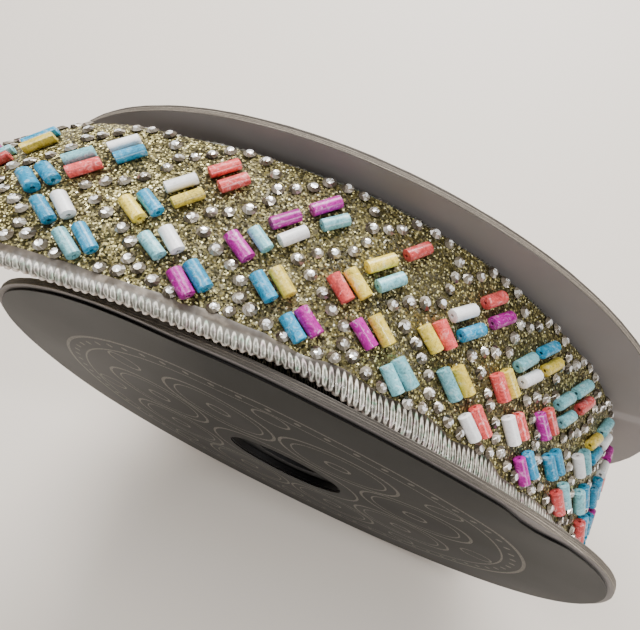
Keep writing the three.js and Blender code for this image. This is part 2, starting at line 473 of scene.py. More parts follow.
def around(piece, centre):
    """A piece's corners in millimetres, with their radius and turn around a flange's axis."""
    points = coordinates(piece.data) / MM
    across = points[:, [0, 2]] - centre
    return points, np.hypot(*across.T), np.arctan2(*across.T)


def draw_in(piece, centre, depths):
    """Moves a piece's corners towards a flange's axis."""
    points, reach, _ = around(piece, centre)
    points[:, [0, 2]] -= (points[:, [0, 2]] - centre) * (depths / reach)[:, None]
    place_vertices(piece.data, points * MM)


def bend_back(piece):
    """Bends a piece of the front flange along the axis, most at its rim, as card warps."""
    points, reach, turn = around(piece, FRONT_AXIS)
    table = np.array(FLANGE_BEND)
    bend = through_table(table[:, 0], table[:, 1], np.degrees(turn))
    points[:, 1] += bend * (reach / FLANGE_RADIUS) ** 3
    place_vertices(piece.data, points * MM)


# The ribbon's path


def eased(share):
    """A step from 0 to 1 with soft ends."""
    share = np.clip(share, 0, 1)
    return share ** 2 * (3 - 2 * share)


def through_table(places, values, at):
    """Smooth curve through a table's rows: the slope at a row is the mean on its two sides."""
    secants = np.diff(values) / np.diff(places)
    slopes = np.concatenate([secants[:1], (secants[1:] + secants[:-1]) / 2, secants[-1:]])
    row = np.clip(np.searchsorted(places, at, side="right") - 1, 0, len(places) - 2)
    gap = places[row + 1] - places[row]
    part = (at - places[row]) / gap
    start = (1 + 2 * part) * (1 - part) ** 2 * values[row]
    end = part ** 2 * (3 - 2 * part) * values[row + 1]
    leaving = part * (1 - part) ** 2 * gap * slopes[row]
    arriving = part ** 2 * (1 - part) * gap * slopes[row + 1]
    return start + end + leaving - arriving


def worked_out_path():
    """Stations along the ribbon's middle line at its front edge, in millimetres from the axis."""
    table = np.array(ROUTE, float)
    angles = np.arange(TAIL_ANGLE, table[-1, 0] + 0.125, 0.25)
    radius, shift, dip = (through_table(table[:, 0], table[:, c], angles) for c in (1, 2, 3))
    turn = np.radians(angles)
    x, z = radius * np.sin(turn), radius * np.cos(turn)
    along = np.concatenate([[0], np.cumsum(np.hypot(np.diff(x), np.diff(z)))])
    tangent_x, tangent_z = np.gradient(x, along), np.gradient(z, along)
    lifted = eased((radius - FLANGE_RADIUS) / 8) * (angles < PARTING_ANGLE)
    from_parting = np.interp(LOOSE_END_ANGLE, angles, along) - along
    wave = WOBBLE_HEIGHT * lifted * np.sin(2 * np.pi * from_parting / WOBBLE_LENGTH)
    x, z = x - tangent_z * wave, z + tangent_x * wave
    along -= np.interp(ZERO_ANGLE, angles, along)
    return {
        "angle": angles, "along": along, "x": x, "z": z,
        "normal_x": -tangent_z, "normal_z": tangent_x, "shift": shift, "dip": dip,
    }


PATH = worked_out_path()


def place_at_angle(angle):
    """Distance along the ribbon at an angle around the reel."""
    return float(np.interp(angle, PATH["angle"], PATH["along"]))


def lay(along, across, height):
    """Points in millimetres for places on the ribbon. The back margin curls down."""
    along, across, height = np.broadcast_arrays(along, across, height)
    station = {key: np.interp(along, PATH["along"], PATH[key]) for key in PATH}
    curl = 0.5 * np.clip((across - CURL_START) / (RIBBON_WIDTH - CURL_START), 0, None) ** 2
    lifted = height - station["dip"] * (across / RIBBON_WIDTH) ** 2 - curl
    return np.stack([
        AXIS_X + station["x"] + station["normal_x"] * lifted,
        FRONT_INNER_FACE + station["shift"] + across,
        AXIS_Z + station["z"] + station["normal_z"] * lifted,
    ], axis=-1)


def cloth_margins(ribbon):
    """Where the net starts and ends across the ribbon, under its wired edges."""
    return ribbon.front_edge - 0.9, ribbon.width - 0.9


def ripple(along, across, height):
    """Uneven surface of the net between its beads, as a smooth seeded pattern."""
    random = np.random.default_rng(7)
    total = np.zeros_like(along)
    for length in (2.3, 3.1, 4.7, 7.3, 11.0):
        direction, phase = random.uniform(0, 2 * np.pi, 2)
        way = along * math.cos(direction) + across * math.sin(direction)
        total = total + np.sin(2 * np.pi * way / length + phase) * length ** 0.5
    return total * height / 8


# Materials

# Settings of a mix of two colours, blended or multiplied, with the output that it gives
BLENDED = {"data_type": "RGBA", "out": 2}
MULTIPLIED = {**BLENDED, "blend_type": "MULTIPLY"}


def as_colour(value):
    """A linear colour, given as one, as an sRGB hex code or as a grey."""
    if isinstance(value, str):
        return linear(value)
    return (value,) * 3 if isinstance(value, (float, int)) else value


def shade(colour, factor):
    """A colour made darker or lighter."""
    return [min(1.0, channel * factor) for channel in colour]


def new_material(name):
    """An empty node material, and the function that adds its nodes."""
    material = bpy.data.materials.new(name)
    material.use_nodes = True
    material.node_tree.nodes.clear()
    return material, partial(add_node, material.node_tree)


def add_node(tree, kind, inputs=(), stops=None, out=0, **settings):
    """Adds a node with its settings and gives one of its outputs. kind may name an operation
    after the node's type. Inputs are values, or other nodes' outputs to link, in order or by
    name, and stops are the places and colours of a colour ramp."""
    kind, _, operation = kind.partition(" ")
    node = tree.nodes.new("ShaderNode" + kind)
    if operation:
        node.operation = operation
    for name, value in settings.items():
        setattr(node, name, value)
    for key, value in inputs.items() if isinstance(inputs, dict) else enumerate(inputs):
        socket = node.inputs[key]
        if isinstance(value, bpy.types.NodeSocket):
            tree.links.new(value, socket)
        else:
            is_colour = socket.type == "RGBA"
            socket.default_value = (*as_colour(value), 1.0) if is_colour else value
    if stops:
        ramp = node.color_ramp
        while len(ramp.elements) < len(stops):
            ramp.elements.new(1.0)
        for element, (place, colour) in zip(ramp.elements, stops):
            element.position = place
            element.color = (*as_colour(colour), 1.0)
    return node.outputs[out] if node.outputs else None


def mottled(add, place, scale, detail, stops, **settings):
    """A colour that wanders with a noise pattern: gives the colour and the noise."""
    noise = add("TexNoise", {"Vector": place, "Scale": scale, "Detail": detail, **settings})
    return add("ValToRGB", {"Fac": noise}, stops=stops), noise


def faces_share(add, low, high):
    """1 on faces square to the reel's axis, 0 on rims."""
    normal = add("SeparateXYZ", [add("NewGeometry", out="Normal")]).node.outputs
    flat = add("Math ABSOLUTE", [normal["Y"]])
    return add("MapRange", {"Value": flat, "From Min": low, "From Max": high})


def around_axis(add, place, centre):
    """Radius and turn of a place around a flange's axis."""
    middle = (centre[0] * MM, 0.0, centre[1] * MM)
    moved = add("VectorMath SUBTRACT", [place, middle])
    apart = add("SeparateXYZ", [moved]).node.outputs
    flat = add("CombineXYZ", {0: apart["X"], 2: apart["Z"]})
    radius = add("VectorMath LENGTH", [flat], out="Value")
    return radius, add("Math ARCTAN2", [apart["X"], apart["Z"]])


def surfaced(material, add, inputs):
    """Gives a material its surface."""
    add("OutputMaterial", [add("BsdfPrincipled", inputs)])
    return material


def laminated_card(reel, name, centre, inner, outer, plies, shaded_rim_top):
    """Grey card of several plies, cut with a die: matt, with light and dark ply lines on its rim
    and a smooth grey lining paper on its faces. inner and outer are its faces along the axis."""
    material, add = new_material("laminated_grey_card_" + name)
    place = add("TexCoord", out="Object")
    apart = add("SeparateXYZ", [place]).node.outputs
    # The die tears the plies a little, so the lines wander by 0.1 mm
    wander = add("TexNoise", {"Vector": place, "Scale": 90.0, "Detail": 3.0})
    drift = add("Math MULTIPLY_ADD", [wander, 0.2, -0.1])
    faces = {"From Min": inner * MM, "From Max": outer * MM}
    share = add("MapRange", {"Value": apart["Y"], **faces}, clamp=False)
    ply = add("Math ADD", [share, drift])
    rim = add("ValToRGB", {"Fac": ply}, stops=[(at, shade(reel.card, tone)) for at, tone in plies])
    # Painted shade along the rim's top, where the ribbon shades it, and painted light at its left
    # end
    if shaded_rim_top:
        low, high = ((AXIS_X + side) * MM for side in RIM_SHADE_STRETCH)
        side = add("MapRange", {"Value": apart["X"], "From Min": low, "From Max": high})
        rim_shade_and_light = add("ValToRGB", {"Fac": side}, stops=RIM_SHADE_AND_LIGHT)
        rim = add("Mix", {0: 1.0, 6: rim, 7: rim_shade_and_light}, **MULTIPLIED)
    # Fibres 0.3 mm wide, drawn out along the rim
    stretched = add("Mapping", {"Vector": place, "Scale": (1.0, 4.0, 1.0)})
    tones = [(0.32, 0.6), (0.66, 1.0)]
    fibre_tint, fibre = mottled(add, stretched, 1300.0, 3.0, tones, Roughness=0.7)
    rim = add("Mix", {0: 1.0, 6: rim, 7: fibre_tint}, **MULTIPLIED)
    # Handling marks a few centimetres across
    tones = [(0.3, shade(reel.lining, 0.9)), (0.7, shade(reel.lining, 1.05))]
    lining, _ = mottled(add, place, 30.0, 3.0, tones)
    is_face = faces_share(add, 0.8, 0.95)
    colour = add("Mix", {0: is_face, 6: rim, 7: lining}, **BLENDED)
    # Painted shade: the wall of the hub's hole is darkened to near black
    radius, _ = around_axis(add, place, centre)
    hole = {"From Min": (reel.hub_hole + 0.5) * MM, "From Max": (reel.hub_hole + 1.0) * MM}
    wall = add("MapRange", {"Value": radius, **hole, "To Min": 0.03})
    colour = add("Mix", {0: 1.0, 6: colour, 7: wall}, **MULTIPLIED)
    rim_only = add("Math SUBTRACT", [0.45, is_face])
    bump = add("Bump", {"Height": fibre, "Strength": rim_only, "Distance": 0.2 * MM})
    return surfaced(material, add, {
        "Base Color": colour, "Roughness": 0.65, "Specular IOR Level": 0.22, "Normal": bump,
    })


def printed_paper(reel, centre):
    """Dark coated paper, printed with silver ink: satin, with fine scratches and a soft haze.
    The ornament is a plain wreath of rings between borders."""
    material, add = new_material("satin_coated_paper")
    place = add("TexCoord", out="Object")
    tones = [(0.3, shade(reel.facing, 0.85)), (0.7, shade(reel.facing, 1.15))]
    colour, haze = mottled(add, place, 22.0, 5.0, tones)
    # Grain of the paper, 0.25 mm
    grain = add("TexNoise", {"Vector": place, "Scale": 4000.0, "Detail": 2.0})
    radius, turn = around_axis(add, place, centre)
    marks = [(radius, *border) for border in BORDERS]
    # Distance from the middle of the nearest of the repeats
    for repeats, out_from_axis, half_step, *ring in WREATH:
        share = add("Math MULTIPLY_ADD", [turn, repeats / (2 * math.pi), half_step])
        within = add("Math FRACT", [share])
        step = 2 * math.pi / repeats
        swung = add("Math MULTIPLY_ADD", [within, step, -step / 2])
        aside = add("Math MULTIPLY", [radius, add("Math SINE", [swung])])
        cosine = add("Math COSINE", [swung])
        away = add("Math MULTIPLY_ADD", [radius, cosine, -out_from_axis * MM])
        offset = add("CombineXYZ", [aside, away])
        marks.append((add("VectorMath LENGTH", [offset], out="Value"), *ring))
    ink = 0.0
    for distance, middle, half_width in marks:
        near = add("Math COMPARE", [distance, middle * MM, half_width * MM])
        ink = add("Math MAXIMUM", [ink, near])
    worn_ink = add("MapRange", {"Value": grain, "From Min": 0.3, "From Max": 0.55})
    strength = add("Math MULTIPLY", [ink, worn_ink])
    inked = add("Mix", {0: strength, 6: colour, 7: reel.ink}, **BLENDED)
    # Painted shade: the paper's cut edge is painted near black, as the shaded groove along the
    # facing's rim
    is_face = faces_share(add, 0.5, 0.8)
    shaded_edge = add("Mix", {0: is_face, 6: "#0d0b0a", 7: inked}, **BLENDED)
    bump = add("Bump", {"Height": grain, "Strength": 0.1, "Distance": 0.1 * MM})
    roughness = add("MapRange", {"Value": haze, "To Min": 0.4, "To Max": 0.55})
    return surfaced(material, add, {
        "Base Color": shaded_edge, "Roughness": roughness, "Specular IOR Level": 0.08, "Normal": bump,
    })


def grey_board(reel):
    """Recycled grey board of the hub and core: matt, with specks and loose fibre, its colour near
    black to add painted shade in the hub's hollow.
    """
    material, add = new_material("recycled_grey_board")
    tones = [(0.3, shade(reel.board, 0.6)), (0.5, reel.board), (0.7, shade(reel.board, 1.25))]
    colour, specks = mottled(add, add("TexCoord", out="Object"), 900.0, 4.0, tones, Roughness=0.7)
    bump = add("Bump", {"Height": specks, "Strength": 0.4, "Distance": 0.2 * MM})
    return surfaced(material, add, {"Base Color": colour, "Roughness": 0.85, "Normal": bump})


def glitter_net(ribbon):
    """Gold glitter glued on net: fine dull grains with dark gaps, and larger flecks strewn over
    them, each lying its own way, so that a few of them flash. The brightest grains and all the
    flecks are painted highlights, pale gold up to near white."""
    material, add = new_material("gold_glitter_on_net")
    place = add("TexCoord", out="Object")
    fleck = ribbon.fleck * MM
    grains = add("TexVoronoi", {"Vector": place, "Scale": 1 / fleck}, out="Color")
    # Random tone per grain, with painted glints at its bright end
    fine = add("ValToRGB", {"Fac": add("SeparateColor", [grains])}, stops=[
        (0.0, ribbon.dark_gold),
        (0.35, shade(ribbon.gold, 0.3)),
        (0.7, shade(ribbon.gold, 0.65)),
        (0.9, shade(ribbon.gold, 1.4)),
        (1.0, ribbon.painted_glint_gold),
    ])
    # Larger flecks on about a sixth of the cells
    flecks = add("TexVoronoi", {"Vector": place, "Scale": 1 / (1.35 * fleck)}, out="Color")
    tone = add("SeparateColor", [flecks]).node.outputs
    strewn = add("ValToRGB", {"Fac": tone[0]}, stops=[(0.8, 0.0), (0.83, 1.0)])
    distance = flecks.node.outputs["Distance"]
    core = add("ValToRGB", {"Fac": distance}, stops=[(0.42, 1.0), (0.5, 0.0)])
    is_fleck = add("Math MULTIPLY", [strewn, core])
    # Painted glints: the flecks' colour runs from pale gold to near white
    bright = add("ValToRGB", {"Fac": tone[1]}, stops=[
        (0.0, ribbon.painted_glint_gold), (0.45, ribbon.painted_glint_gold),
        (0.75, "#f9f0b4"), (1.0, "#fffbe2"),
    ])
    # Patches of thinner glue, 6 mm across
    patches, _ = mottled(add, place, 170.0, 3.0, [(0.34, 0.6), (0.6, 1.0)])
    dulled = add("Mix", {0: 1.0, 6: fine, 7: patches}, **MULTIPLIED)
    base = add("Mix", {0: is_fleck, 6: dulled, 7: bright}, **BLENDED)
    # Tilt of each grain or fleck from its own random colour
    own = add("Mix", {0: is_fleck, 6: grains, 7: flecks}, **BLENDED)
    tilt = add("VectorMath SUBTRACT", [own, (0.5, 0.5, 0.5)])
    wide_tilt = add("VectorMath SCALE", {0: tilt, "Scale": 1.3})
    own_normal = add("NewGeometry", out="Normal")
    tilted = add("VectorMath ADD", [own_normal, wide_tilt])
    return surfaced(material, add, {
        "Base Color": base,
        "Metallic": add("MapRange", {"Value": is_fleck, "To Min": 0.5, "To Max": 0.15}),
        "Roughness": add("MapRange", {"Value": is_fleck, "To Min": 0.42, "To Max": 0.2}),
        "Normal": add("VectorMath NORMALIZE", [tilted]),
    })


def clear_thread(ribbon, first, last, tone):
    """Clear nylon thread over a sheer tape on wire, glossy: each loop's outline is a painted
    highlight round a darker middle, with dark gaps between loops as painted shade, and a painted
    pale green and pink sheen. first and last are the edge's ends along the ribbon, and tone
    darkens the whole edge."""
    material, add = new_material("clear_nylon_overcast" if tone > 0.5 else "gilt_nylon_overcast")
    place = add("TexCoord", out="Object")
    uv = add("SeparateXYZ", [add("UVMap", uv_map="along_across")]).node.outputs
    loops = add("Math MULTIPLY", [uv["X"], (last - first) / ribbon.stitch])
    slant = add("Math MULTIPLY_ADD", [uv["Y"], LOOP_SLANT, loops])
    part = add("Math FRACT", [slant])
    number = add("Math FLOOR", [slant])
    # The loops reach over the whole tape from where the ribbon lies on the roll
    loose, wound = ((place_at_angle(angle) - first) / (last - first) for angle in LOOPS_WIDEN)
    wound_share = add("MapRange", {"Value": uv["X"], "From Min": loose, "From Max": wound})
    loop_end = add(
        "MapRange", {"Value": wound_share, "To Min": LOOP_ENDS[0], "To Max": LOOP_ENDS[1]}
    )
    # Distance from the loop's middle, 1 at its outline
    sideways = add("Math MULTIPLY_ADD", [part, 2.3, -1.15])
    lengthways = add(
        "MapRange",
        {"Value": uv["Y"], "From Min": LOOP_START, "From Max": loop_end, "To Min": -1.0},
        clamp=False,
    )
    offset = add("CombineXYZ", [sideways, lengthways])
    distance = add("VectorMath LENGTH", [offset], out="Value")
    # Painted highlight and shade: the outline in the thread's pale colour is painted bright, the
    # middle greyer, and the gaps between loops dark as painted shade
    loop = add("ValToRGB", {"Fac": distance}, stops=[
        (0.0, "#86877a"),
        (0.4, "#6d6e62"),
        (0.6, ribbon.thread),
        (0.78, shade(ribbon.thread, 0.9)),
        (0.92, "#574e41"),
        (1.0, "#3b342a"),
    ])
    # Kinks in the thread, 1 mm long, and each loop's own brightness
    kinks = add("TexNoise", {"Vector": place, "Scale": 1500.0, "Detail": 3.0})
    broken = add(
        "MapRange",
        {"Value": kinks, "From Min": 0.35, "From Max": 0.65, "To Min": 0.5, "To Max": 1.15},
    )
    chance = add("TexWhiteNoise", {"W": number}, noise_dimensions="1D")
    own_light = add("MapRange", {"Value": chance, "To Min": 0.65, "To Max": 1.1})
    strength = add("Math MULTIPLY", [own_light, broken])
    lit = add("Mix", {0: 1.0, 6: loop, 7: strength}, **MULTIPLIED)
    # Painted sheen of pale green and pink over the thread
    sheen, _ = mottled(add, place, 900.0, 1.0, [
        (0.3, "#a9ecd0"), (0.42, 1.0), (0.6, 1.0), (0.72, "#f0cbe4"),
    ])
    tinted = add("Mix", {0: 0.7, 6: lit, 7: sheen}, **MULTIPLIED)
    # On the loose part the loops lie thick, and painted light fills their middles and gaps
    filled = add("MapRange", {"Value": wound_share, "To Min": 0.2, "To Max": 0.0})
    soft = add("Mix", {0: filled, 6: tinted, 7: shade(ribbon.thread, 0.6)}, **BLENDED)
    # The smooth tape shows on the band's inner part
    over_end = add("Math SUBTRACT", [uv["Y"], loop_end])
    tape_share = add("MapRange", {"Value": over_end, "From Min": -0.03, "From Max": 0.02})
    tape, _ = mottled(add, place, 420.0, 3.0, [
        (0.3, shade(ribbon.tape, 0.6)), (0.5, ribbon.tape), (0.75, "#857b6e"),
    ])
    taped = add("Mix", {0: tape_share, 6: soft, 7: tape}, **BLENDED)
    # Knots along the border: a fringe in scallops with a painted cream highlight on each knot,
    # dimmer on the wound part
    swing = add("Math MULTIPLY", [uv["X"], 2 * math.pi * (last - first) / SCALLOP])
    scallop = add("Math COSINE", [swing])
    knots = add("MapRange", {"Value": scallop, "From Min": -1.0, "From Max": 0.6})
    fringe = add("ValToRGB", {"Fac": knots}, stops=[
        (0.0, "#6b5e50"), (0.5, "#c9b9a8"), (1.0, "#f3e6da"),
    ])
    dimmed = add("MapRange", {"Value": wound_share, "To Min": 0.95, "To Max": 0.45})
    fringe_lit = add("Mix", {0: 1.0, 6: fringe, 7: dimmed}, **MULTIPLIED)
    fringe_share = add("MapRange", {"Value": uv["Y"], "From Min": 0.3, "From Max": 0.25})
    colour = add("Mix", {0: fringe_share, 6: taped, 7: fringe_lit}, **BLENDED)
    return surfaced(material, add, {
        "Base Color": add("Mix", {0: 1.0, 6: colour, 7: tone}, **MULTIPLIED),
        "Roughness": 0.3,
        "Specular IOR Level": 0.5,
        "Coat Weight": 0.25,
        "Coat Roughness": 0.12,
    })


def dyed_bead(name, colour, depth):
    """Tube bead of cut glass cane, dyed on its surface: glossy, with dark specks and pale rubbed
    patches where the dye is uneven, as strong as depth says, and some beads paler than others."""
    material, add = new_material("dyed_tube_bead_" + name)
    place = add("TexCoord", out="Object")
    # Rubbed patches of 1.2 mm
    rubbed = [channel * 0.65 + 0.9 * 0.35 for channel in colour]
    dye, _ = mottled(add, place, 800.0, 5.0, [
        (0.36, shade(colour, 1 - depth)), (0.46, shade(colour, 1 - 0.25 * depth)),
        (0.54, colour), (0.66, rubbed),
    ], Roughness=0.7, Distortion=1.2)
    # Specks of 0.3 mm
    specks, _ = mottled(add, place, 2600.0, 2.0, [(0.34, 1 - 0.8 * depth), (0.44, 1.0)])
    specked = add("Mix", {0: 1.0, 6: dye, 7: specks}, **MULTIPLIED)
    tone = add("Attribute", attribute_name="tone", out="Fac")
    light = add("MapRange", {"Value": tone, "To Min": 0.8, "To Max": 1.12})
    return surfaced(material, add, {
        "Base Color": add("Mix", {0: 1.0, 6: specked, 7: light}, **MULTIPLIED),
        "Roughness": 0.35,
        "Specular IOR Level": 0.4,
        "Coat Weight": 0.15,
        "Coat Roughness": 0.12,
    })


def foiled_glass():
    """Clear cut glass with a foil back, under a hard gloss: each facet's colour is a painted
    reflection, bright or dark by the value given to it."""
    material, add = new_material("foil_backed_cut_glass")
    glint = add("Attribute", attribute_name="glint", out="Fac")
    colour = add("ValToRGB", {"Fac": glint}, stops=[
        (0.0, "#2e271c"),
        (0.2, "#63594a"),
        (0.42, "#9d9383"),
        (0.6, "#e9e4db"),
        (0.7, "#ffffff"),
    ])
    return surfaced(material, add, {
        "Base Color": colour,
        "Metallic": 0.3,
        "Roughness": 0.15,
        "Coat Weight": 1.0,
        "Coat Roughness": 0.03,
    })


def painted_floor(colour):
    """Matt white table top, a little uneven in tone."""
    material, add = new_material("matt_table_top")
    place = add("TexCoord", out="Object")
    tone, _ = mottled(add, place, 3.0, 2.0, [(0.3, shade(colour, 0.97)), (0.7, colour)])
    return surfaced(material, add, {"Base Color": tone, "Roughness": 0.6})


# Operators


class REEL_OT_card_boards(bpy.types.Operator):
    """Makes the two flange boards of laminated card, standing on flats"""

    bl_idname = "reel.card_boards"
    bl_label = "Card boards"

    def execute(self, context):
        reel = context.scene.reel_settings
        boards = (
            ("front", FLANGE_RADIUS, FRONT_AXIS, BOARD_HIGH.y, BOARD_LOW.y, FRONT_PLIES),
            ("back", BACK_FLANGE_RADIUS, BACK_AXIS, BACK_LOW.y, BACK_HIGH.y, BACK_PLIES_AND_SHADE),
        )
        for side, radius, centre, inner, outer, plies in boards:
            name = side + "_card"
            is_front = side == "front"
            profile = self.profile(reel, radius, min(inner, outer), max(inner, outer))
            board = spun_ring(name, profile, centre, 240)
            self.roughen_rim(board, radius, centre)
            if is_front:
                bend_back(board)
            cut_flat_at_floor(board)
            material = laminated_card(reel, name, centre, inner, outer, plies, is_front)
            dress(smooth(board, 30), material, "card", side + "_flange_board")
        return {"FINISHED"}

    def profile(self, reel, radius, low, high):
        """Half section of a board: four plies with lines between them."""
        plies = 4
        rounding, line = 0.12, 0.08
        corners = [(reel.hub_hole, low), (radius - rounding, low)]
        step = (high - low) / plies
        for ply in range(plies):
            start = low + ply * step
            corners += [(radius, start + line), (radius, start + step - line)]
            if ply < plies - 1:
                corners.append((radius - reel.ply_groove, start + step))
        return corners + [(radius - rounding, high), (reel.hub_hole, high)]

    def roughen_rim(self, board, radius, centre):
        """Makes the cut rim a little uneven, inwards only."""
        points, reach, turn = around(board, centre)
        random = np.random.default_rng(3)
        uneven = np.zeros(len(points))
        for waves in (9, 23, 41, 67, 97):
            uneven += np.sin(turn * waves + points[:, 1] * 4 + random.uniform(0, 6.28))
        draw_in(board, centre, np.where(reach > radius - 1, 0.02 * (uneven + 5), 0))


class REEL_OT_printed_facings(bpy.types.Operator):
    """Makes the dark paper facings, with a ragged worn edge on the front one"""

    bl_idname = "reel.printed_facings"
    bl_label = "Printed facings"

    def execute(self, context):
        reel = context.scene.reel_settings
        facings = (
            ("front", FLANGE_RADIUS, FRONT_AXIS, FACING_LOW.y, FACING_HIGH.y),
            ("back", BACK_FLANGE_RADIUS, BACK_AXIS, BACK_FACING_LOW.y, BACK_FACING_HIGH.y),
        )
        for side, radius, centre, low, high in facings:
            outer = radius - reel.facing_margin
            inner = reel.hub_hole + 0.3
            rounding = 0.1
            profile = [
                (inner, low), (outer - rounding, low), (outer, low + rounding),
                (outer, high - rounding), (outer - rounding, high), (inner, high),
            ]
            facing = spun_ring(side + "_facing", profile, centre, 720)
            is_front = side == "front"
            self.wear_edge(facing, outer, centre, reel.worn_depth if is_front else 0)
            if is_front:
                bend_back(facing)
            material = printed_paper(reel, centre)
            dress(smooth(facing, 30), material, "facing_paper", side + "_flange_facing")
        return {"FINISHED"}

    def wear_edge(self, facing, outer, centre, depth):
        """Moves the edge in where it is worn, in an uneven line."""
        points, reach, turn = around(facing, centre)
        random = np.random.default_rng(11)
        ragged = np.zeros(len(points))
        for waves in (17, 41, 73, 131, 211, 293):
            ragged += np.sin(turn * waves + random.uniform(0, 6.28)) * 6 / waves ** 0.6
        ragged = 0.5 + ragged / 8
        start, end = WORN_STRETCH
        angle = np.degrees(turn)
        share = eased((angle - start) / 6) * eased((end - angle) / 6)
        worn = 0.15 * ragged + depth * share * (0.7 + 0.5 * ragged)
        draw_in(facing, centre, np.where(reach > outer - 1, worn, 0))


class REEL_OT_hub(bpy.types.Operator):
    """Gives the hub rings and the core tube of the frame their board finish"""

    bl_idname = "reel.hub"
    bl_label = "Hub and core"

    def execute(self, context):
        material = grey_board(context.scene.reel_settings)
        for name in ("front_hub_ring", "back_hub_ring", "core_tube"):
            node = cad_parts[name]
            node.data.materials.clear()
            node.data.materials.append(material)
        return {"FINISHED"}


class REEL_OT_glitter_cloth(bpy.types.Operator):
    """Makes the roll's outer turn and the loose turn of glitter net with its cut end"""

    bl_idname = "reel.glitter_cloth"
    bl_label = "Glitter cloth"

    def execute(self, context):
        ribbon = context.scene.ribbon_settings
        material = glitter_net(ribbon)
        dress(self.wound_turns(ribbon), material, "glitter_net", "ribbon_roll")
        dress(self.loose_turn(ribbon), material, "glitter_net", "loose_turn_cloth")
        return {"FINISHED"}

    def wound_turns(self, ribbon):
        """Closed spiral body: the ground outside, and the edges of the turns on its sides."""
        start, end = ribbon.front_edge - 0.5, ribbon.width - ribbon.back_edge - 0.2
        ground = np.linspace(start, end, 25)
        across = np.concatenate([
            [1.5, 1.5, 2.4, 3.2], ground, [end + 0.6, end + 1.0, end + 1.0, 1.5],
        ])
        core = np.nan
        depth = np.concatenate([
            [core, -1.6, -1.5, -1.4], np.zeros_like(ground), [-0.6, -2.6, core, core],
        ])
        angles = np.concatenate([np.arange(PARTING_ANGLE, 459.6, 1.0), [459.7, 460.0]])
        stations = np.array([place_at_angle(angle) for angle in angles])
        stations[-1] = stations[0]
        rows = len(across) - 1
        columns = len(angles) - 1

        def place(share_along, share_across):
            column = np.rint(share_along * columns).astype(int)
            row = np.rint(share_across * rows).astype(int)
            along, side, sunk = stations[column], across[row], depth[row]
            height = ribbon.cloth / 2 + np.nan_to_num(sunk)
            height += ripple(along, side, RIPPLE_HEIGHT) * (sunk == 0)
            points = lay(along, side, height)
            turn = np.radians(angles[column])
            inner = np.stack([
                AXIS_X + (CORE_RADIUS + 0.3) * np.sin(turn), points[:, 1],
                AXIS_Z + (CORE_RADIUS + 0.3) * np.cos(turn),
            ], axis=-1)
            return np.where(np.isnan(sunk)[:, None], inner, points)

        roll = mapped_grid("wound_turns", columns, rows, place)
        close_seams(roll)
        return smooth(roll, 40)

    def loose_turn(self, ribbon):
        """Sheet of net from the cut end to where it parts from the roll."""
        start, end = cloth_margins(ribbon)
        first, last = place_at_angle(TAIL_ANGLE), place_at_angle(LOOSE_END_ANGLE)

        def place(share_along, share_across):
            along = first + (last - first) * share_along
            side = start + (end - start) * share_across
            return lay(along, side, ribbon.cloth / 2 + ripple(along, side, RIPPLE_HEIGHT))

        cloth = mapped_grid("ribbon_cloth", int((last - first) / 0.8), 40, place)
        solid = cloth.modifiers.new("cloth thickness", "SOLIDIFY")
        solid.thickness = ribbon.cloth * MM
        solid.offset = -1
        bpy.ops.object.modifier_apply(modifier=solid.name)
        return smooth(cloth, 40)


